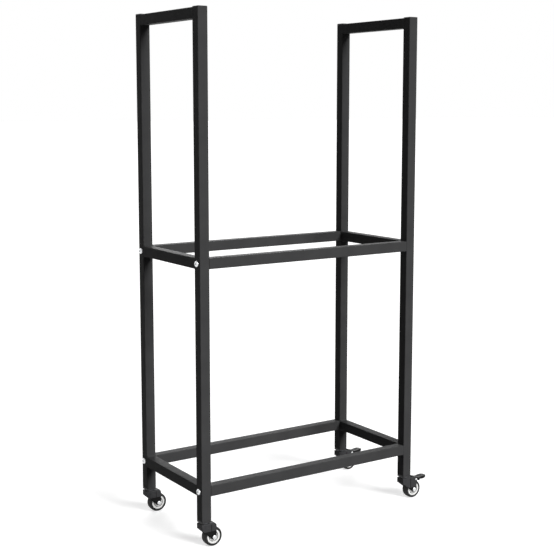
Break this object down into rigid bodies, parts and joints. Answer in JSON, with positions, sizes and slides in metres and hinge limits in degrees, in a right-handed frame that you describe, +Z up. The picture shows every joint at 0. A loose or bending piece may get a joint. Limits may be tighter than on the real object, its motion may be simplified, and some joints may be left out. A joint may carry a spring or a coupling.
{
  "type": "fireside log cart",
  "caption": "Tall open log cart of square steel tube: two ladder-like side frames, bolted shelf rails at two levels, and swivel casters, some with toe brakes.",
  "frame": {"origin": "on the floor, under the middle of the overall length and depth; the uprights' own middle lies 27 mm towards -X of it, because the brake pedals stand out past the right side frame", "axes": "+Z up; +X to the right along the shelf rails, towards the side frame with the braked casters; the front faces -Y"},
  "size_m": [0.6822, 0.305, 1.227],
  "materials": {
    "powder_coat": "satin black powder coat, faintly textured",
    "black_plastic": "moulded, satin",
    "zinc": "bright zinc plate",
    "steel": "plain turned steel",
    "fork_black": "black lacquer on pressed steel",
    "rim_white": "moulded, satin white",
    "tyre": "smooth black rubber"
  },
  "bodies": {
    "frame": {"upright_front_left": "powder_coat", "upright_front_right": "powder_coat", "upright_back_left": "powder_coat", "upright_back_right": "powder_coat", "end_cap_front_left": "black_plastic", "end_cap_front_right": "black_plastic", "end_cap_back_left": "black_plastic", "end_cap_back_right": "black_plastic", "lower_rung_left": "powder_coat", "lower_rung_right": "powder_coat", "upper_rung_left": "powder_coat", "upper_rung_right": "powder_coat", "handle_bar_left": "powder_coat", "handle_bar_right": "powder_coat", "lower_rail_front": "powder_coat", "lower_rail_back": "powder_coat", "upper_rail_front": "powder_coat", "upper_rail_back": "powder_coat", "bolt_lower_front_left": "zinc", "bolt_lower_front_right": "zinc", "bolt_lower_back_left": "zinc", "bolt_lower_back_right": "zinc", "bolt_upper_front_left": "zinc", "bolt_upper_front_right": "zinc", "bolt_upper_back_left": "zinc", "bolt_upper_back_right": "zinc", "leg_insert_front_left": "black_plastic", "leg_insert_front_right": "black_plastic", "leg_insert_back_left": "black_plastic", "leg_insert_back_right": "black_plastic", "stem_front_left": "steel", "stem_front_right": "steel", "stem_back_left": "steel", "stem_back_right": "steel", "swivel_race_front_left": "steel", "swivel_race_front_right": "steel", "swivel_race_back_left": "steel", "swivel_race_back_right": "steel"},
    "caster_front_left": {"fork_front_left": "fork_black", "axle_front_left": "zinc"},
    "caster_front_right": {"fork_front_right": "fork_black", "axle_front_right": "zinc", "brake_pin_front_right": "zinc"},
    "caster_back_left": {"fork_back_left": "fork_black", "axle_back_left": "zinc"},
    "caster_back_right": {"fork_back_right": "fork_black", "axle_back_right": "zinc", "brake_pin_back_right": "zinc"},
    "wheel_front_left": {"rim_front_left": "rim_white", "tyre_front_left": "tyre"},
    "wheel_front_right": {"rim_front_right": "rim_white", "tyre_front_right": "tyre"},
    "wheel_back_left": {"rim_back_left": "rim_white", "tyre_back_left": "tyre"},
    "wheel_back_right": {"rim_back_right": "rim_white", "tyre_back_right": "tyre"},
    "brake_front_right": {"brake_pedal_front_right": "fork_black"},
    "brake_back_right": {"brake_pedal_back_right": "fork_black"}
  },
  "joints": [
    {"name": "swivel_front_left", "type": "hinge", "parent": "frame", "child": "caster_front_left", "pos_m": [-0.3245, -0.1375, 0.0575], "axis": [0, 0, 1], "continuous": true},
    {"name": "swivel_front_right", "type": "hinge", "parent": "frame", "child": "caster_front_right", "pos_m": [0.2705, -0.1375, 0.0575], "axis": [0, 0, 1], "continuous": true},
    {"name": "swivel_back_left", "type": "hinge", "parent": "frame", "child": "caster_back_left", "pos_m": [-0.3245, 0.1375, 0.0575], "axis": [0, 0, 1], "continuous": true},
    {"name": "swivel_back_right", "type": "hinge", "parent": "frame", "child": "caster_back_right", "pos_m": [0.2705, 0.1375, 0.0575], "axis": [0, 0, 1], "continuous": true},
    {"name": "roll_front_left", "type": "hinge", "parent": "caster_front_left", "child": "wheel_front_left", "pos_m": [-0.3045, -0.1375, 0.023], "axis": [0, 1, 0], "continuous": true},
    {"name": "roll_front_right", "type": "hinge", "parent": "caster_front_right", "child": "wheel_front_right", "pos_m": [0.2955, -0.1375, 0.023], "axis": [0, 1, 0], "continuous": true},
    {"name": "roll_back_left", "type": "hinge", "parent": "caster_back_left", "child": "wheel_back_left", "pos_m": [-0.3045, 0.1375, 0.023], "axis": [0, 1, 0], "continuous": true},
    {"name": "roll_back_right", "type": "hinge", "parent": "caster_back_right", "child": "wheel_back_right", "pos_m": [0.2955, 0.1375, 0.023], "axis": [0, 1, 0], "continuous": true},
    {"name": "brake_press_front_right", "type": "hinge", "parent": "caster_front_right", "child": "brake_front_right", "pos_m": [0.3015, -0.1375, 0.04902], "axis": [0, 1, 0], "range_deg": [0, 15]},
    {"name": "brake_press_back_right", "type": "hinge", "parent": "caster_back_right", "child": "brake_back_right", "pos_m": [0.3015, 0.1375, 0.04902], "axis": [0, 1, 0], "range_deg": [0, 15]}
  ]
}
